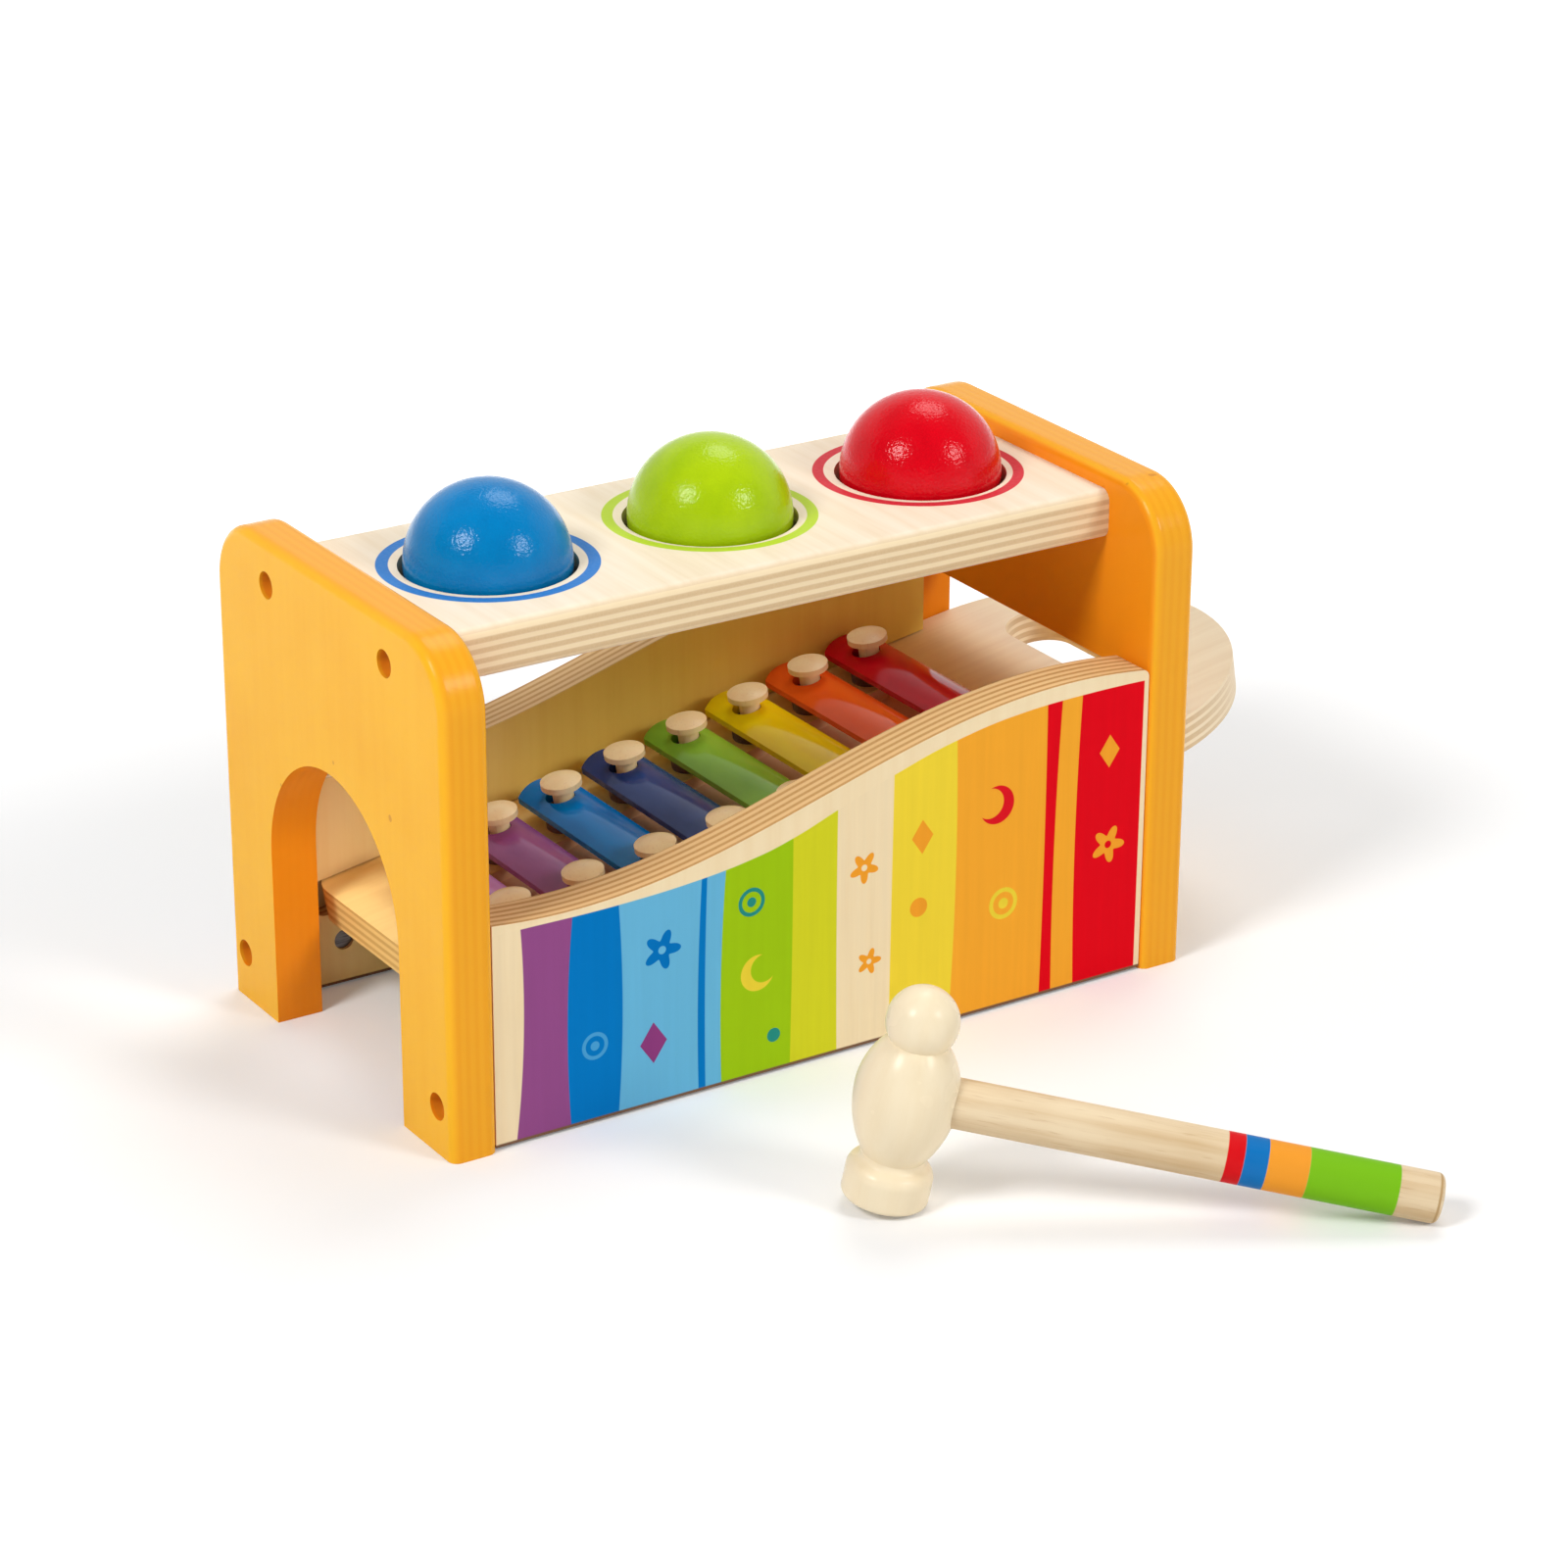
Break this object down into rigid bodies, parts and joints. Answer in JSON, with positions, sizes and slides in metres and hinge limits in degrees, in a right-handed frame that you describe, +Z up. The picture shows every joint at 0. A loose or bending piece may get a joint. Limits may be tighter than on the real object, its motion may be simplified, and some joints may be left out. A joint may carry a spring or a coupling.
{
  "type": "ball pounding bench",
  "caption": "Wooden pounding bench: balls gripped in a pierced top board drop onto a sloping slide-out xylophone between wave-topped side panels; hammer beside it",
  "frame": {"origin": "on the table, midway between the outer faces of the end panels and of the side panels", "axes": "X along the bench towards the pull end of the xylophone board, Y to the back, Z up"},
  "size_m": [0.3043, 0.3076, 0.17],
  "materials": {
    "orange_lacquer": "satin orange lacquer on plywood",
    "birch_ply": "clear lacquered birch plywood",
    "turned_beech": "clear lacquered turned beech",
    "handle_beech": "clear lacquered beech rod",
    "dark_felt": "dark felt",
    "black_rubber": "matt black rubber",
    "zinc_steel": "zinc plated steel",
    "blue_lacquer": "gloss blue lacquer on wood",
    "green_lacquer": "gloss green lacquer on wood",
    "red_lacquer": "gloss red lacquer on wood",
    "bar_lilac": "gloss painted metal",
    "bar_purple": "gloss painted metal",
    "bar_blue": "gloss painted metal",
    "bar_navy": "gloss painted metal",
    "bar_green": "gloss painted metal",
    "bar_yellow": "gloss painted metal",
    "bar_orange": "gloss painted metal",
    "bar_red": "gloss painted metal"
  },
  "bodies": {
    "bench": {"left_end_panel": "orange_lacquer", "right_end_panel": "orange_lacquer", "top_board": "birch_ply", "front_panel": "birch_ply", "back_panel": "birch_ply", "grip_ring_blue": "black_rubber", "grip_ring_green": "black_rubber", "grip_ring_red": "black_rubber", "top_board_screws": "zinc_steel", "side_panel_bolts": "zinc_steel", "barrel_nuts": "zinc_steel", "locating_dowels": "handle_beech"},
    "xylophone": {"xylophone_board": "birch_ply", "tone_bar_lilac": "bar_lilac", "tone_bar_purple": "bar_purple", "tone_bar_blue": "bar_blue", "tone_bar_navy": "bar_navy", "tone_bar_green": "bar_green", "tone_bar_yellow": "bar_yellow", "tone_bar_orange": "bar_orange", "tone_bar_red": "bar_red", "back_row_pegs": "turned_beech", "front_row_pegs": "turned_beech", "felt_cushions": "dark_felt"},
    "blue_ball": {"ball_blue": "blue_lacquer"},
    "green_ball": {"ball_green": "green_lacquer"},
    "red_ball": {"ball_red": "red_lacquer"},
    "hammer": {"hammer_head": "turned_beech", "hammer_handle": "handle_beech"}
  },
  "joints": [
    {"name": "blue_ball_drop", "type": "slide", "parent": "bench", "child": "blue_ball", "axis": [0, 0, 1], "range_m": [-0.07, 0.03], "deforming": ["grip_ring_blue"]},
    {"name": "green_ball_drop", "type": "slide", "parent": "bench", "child": "green_ball", "axis": [0, 0, 1], "range_m": [-0.058, 0.03], "deforming": ["grip_ring_green"]},
    {"name": "red_ball_drop", "type": "slide", "parent": "bench", "child": "red_ball", "axis": [0, 0, 1], "range_m": [-0.046, 0.03], "deforming": ["grip_ring_red"]},
    {"name": "xylophone_slide", "type": "slide", "parent": "bench", "child": "xylophone", "axis": [0.9866, 0, 0.1633], "range_m": [0, 0.235]},
    {"name": "hammer_lift", "type": "slide", "parent": "bench", "child": "hammer", "axis": [0, 0, 1], "range_m": [0, 0.15]}
  ]
}
